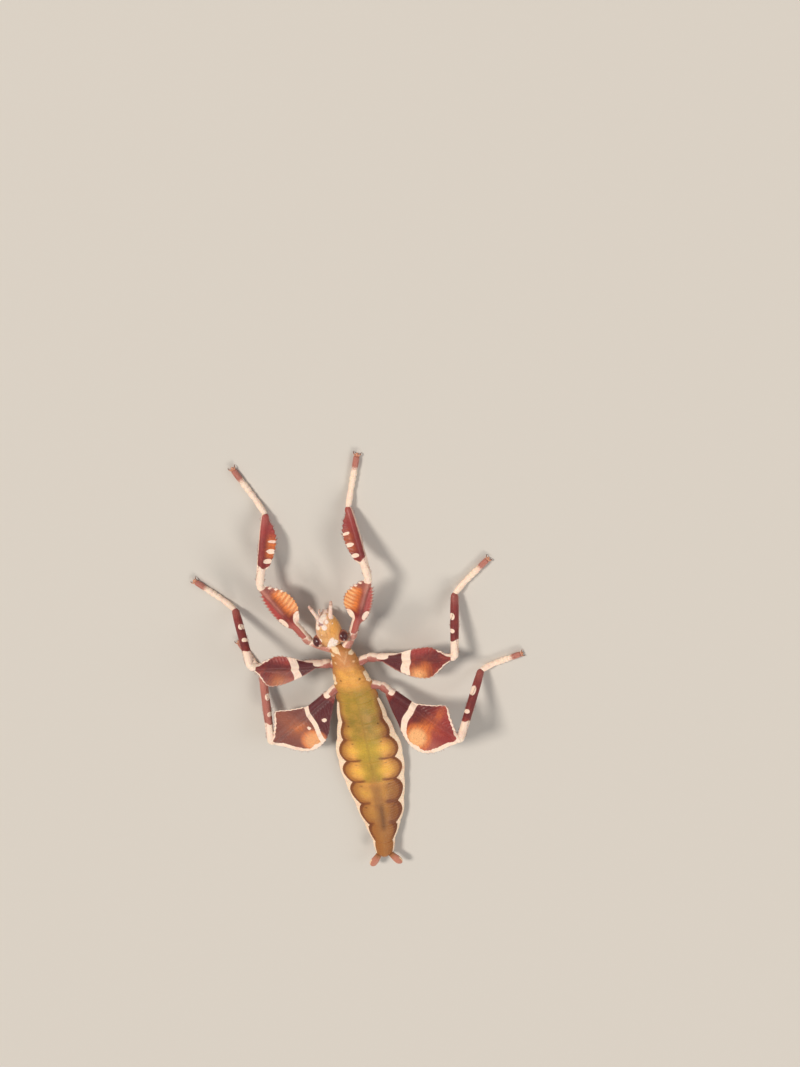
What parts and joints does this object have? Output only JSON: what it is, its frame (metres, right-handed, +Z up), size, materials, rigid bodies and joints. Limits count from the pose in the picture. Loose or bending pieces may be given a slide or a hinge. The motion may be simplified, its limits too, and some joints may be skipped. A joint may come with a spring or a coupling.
{
  "type": "leaf insect nymph",
  "caption": "Life-size still model of a young leaf insect: flat leaf-like abdomen, lobed thighs, small round-eyed head and slender feet, in a flat clinging pose.",
  "frame": {"origin": "on the floor under the middle of the insect's bounding box", "axes": "+Z up, the head towards -Y, the insect's left side towards +X"},
  "size_m": [0.0165, 0.0262, 0.0035],
  "materials": {
    "head_skin": "thin cuticle, ochre to orange with pale lumps, satin",
    "eye": "dark maroon compound eye, glossy",
    "trunk_skin": "thin cuticle, orange-yellow thorax, green to brown abdomen with yellow spots and a cream margin, satin",
    "leg_skin": "thin cuticle, maroon and orange lobes with white bands, cream feet, satin"
  },
  "bodies": {
    "root": {"head": "head_skin", "eye_left": "eye", "eye_right": "eye", "mouthparts": "head_skin", "antenna_left": "head_skin", "antenna_right": "head_skin", "pronotum": "trunk_skin", "mesothorax": "trunk_skin", "metathorax": "trunk_skin", "abdomen_02": "trunk_skin", "abdomen_03": "trunk_skin", "abdomen_04": "trunk_skin", "abdomen_05": "trunk_skin", "abdomen_06": "trunk_skin", "abdomen_07": "trunk_skin", "abdomen_08": "trunk_skin", "abdomen_09": "trunk_skin", "abdomen_10": "trunk_skin", "cercus_left": "trunk_skin", "cercus_right": "trunk_skin", "coxa_fore_left": "leg_skin", "femur_fore_left": "leg_skin", "tibia_fore_left": "leg_skin", "tarsus_fore_left": "leg_skin", "coxa_fore_right": "leg_skin", "femur_fore_right": "leg_skin", "tibia_fore_right": "leg_skin", "tarsus_fore_right": "leg_skin", "coxa_middle_left": "leg_skin", "femur_middle_left": "leg_skin", "tibia_middle_left": "leg_skin", "tarsus_middle_left": "leg_skin", "coxa_middle_right": "leg_skin", "femur_middle_right": "leg_skin", "tibia_middle_right": "leg_skin", "tarsus_middle_right": "leg_skin", "coxa_hind_left": "leg_skin", "femur_hind_left": "leg_skin", "tibia_hind_left": "leg_skin", "tarsus_hind_left": "leg_skin", "coxa_hind_right": "leg_skin", "femur_hind_right": "leg_skin", "tibia_hind_right": "leg_skin", "tarsus_hind_right": "leg_skin"}
  },
  "joints": []
}
